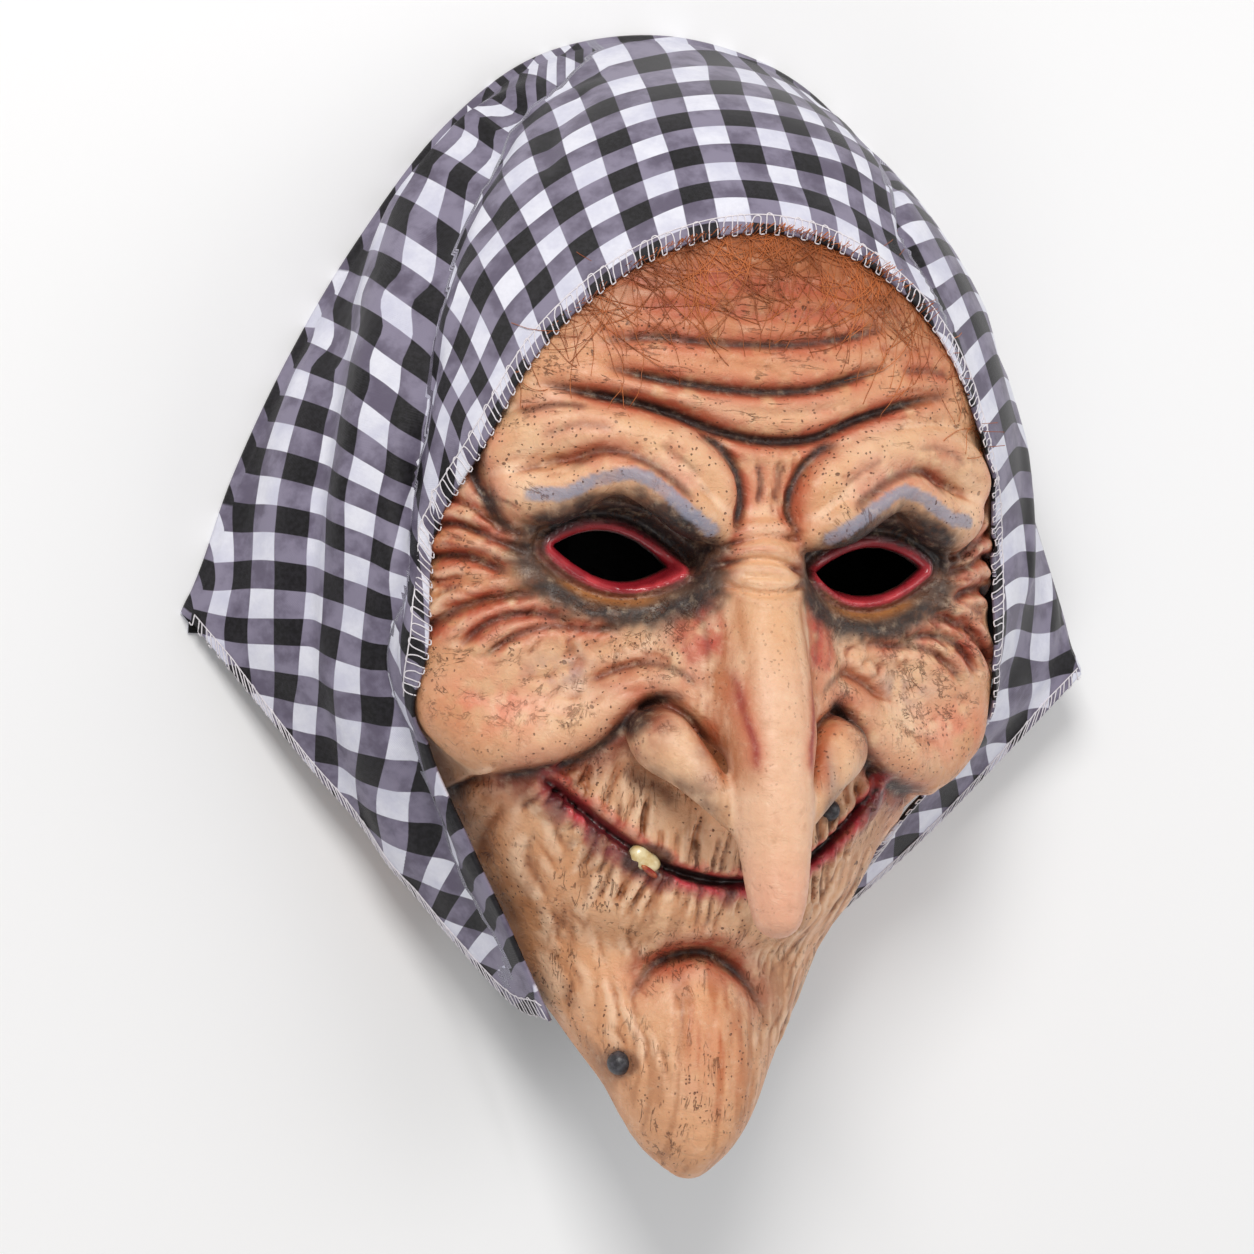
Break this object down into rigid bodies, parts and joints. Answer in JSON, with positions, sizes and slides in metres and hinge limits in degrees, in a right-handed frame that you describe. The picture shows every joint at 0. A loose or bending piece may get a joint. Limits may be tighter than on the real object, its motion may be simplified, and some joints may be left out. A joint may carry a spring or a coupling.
{
  "type": "witch mask",
  "caption": "Hollow latex witch's face with a long hooked nose under a checked cloth headscarf, worn over the face.",
  "frame": {"origin": "middle of the footprint on the floor, with the mask lying on its back", "axes": "+X to the wearer's left, +Y to the crown of the head, +Z out of the face, the way the wearer looks"},
  "size_m": [0.238, 0.2846, 0.1158],
  "materials": {
    "painted_latex": "semi-gloss, hand painted",
    "checked_cloth": "satin weave, woven check"
  },
  "bodies": {
    "root": {"latex_face": "painted_latex", "scarf": "checked_cloth"}
  },
  "joints": []
}
